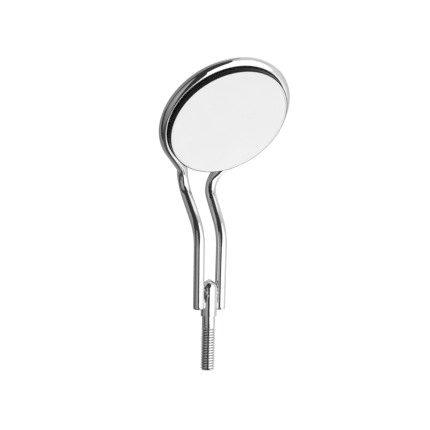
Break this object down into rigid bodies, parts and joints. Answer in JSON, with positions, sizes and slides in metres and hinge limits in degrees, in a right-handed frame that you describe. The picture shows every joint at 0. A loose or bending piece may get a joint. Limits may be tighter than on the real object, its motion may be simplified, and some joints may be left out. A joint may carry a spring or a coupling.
{
  "type": "dental mouth mirror head",
  "caption": "Round front-surface mouth mirror in a steel cup, carried on a looped wire frame that ends in a threaded stud for a handle.",
  "frame": {"origin": "centre of the stud's shoulder face, on the screw axis, where the end of a handle seats", "axes": "+Z along the screw axis from the thread towards the mirror; the mirror looks towards -Y and down; the legs stand at -X and +X"},
  "size_m": [0.0246, 0.0182, 0.054],
  "materials": {
    "mirror_coat": "front-surface mirror film, optically smooth",
    "glass": "clear float glass with a ground edge",
    "cement": "matt cement",
    "cup_steel": "pressed stainless steel, bright polished",
    "wire_steel": "drawn stainless steel wire, bright polished",
    "stud_steel": "turned stainless steel, polished, thread as cut",
    "solder": "silver solder, uneven and bright"
  },
  "bodies": {
    "root": {"mirror_coating": "mirror_coat", "mirror_glass": "glass", "glass_cement": "cement", "mirror_cup": "cup_steel", "head_braze": "solder", "wire_frame": "wire_steel", "threaded_stud": "stud_steel", "left_leg_braze": "solder", "right_leg_braze": "solder"}
  },
  "joints": []
}
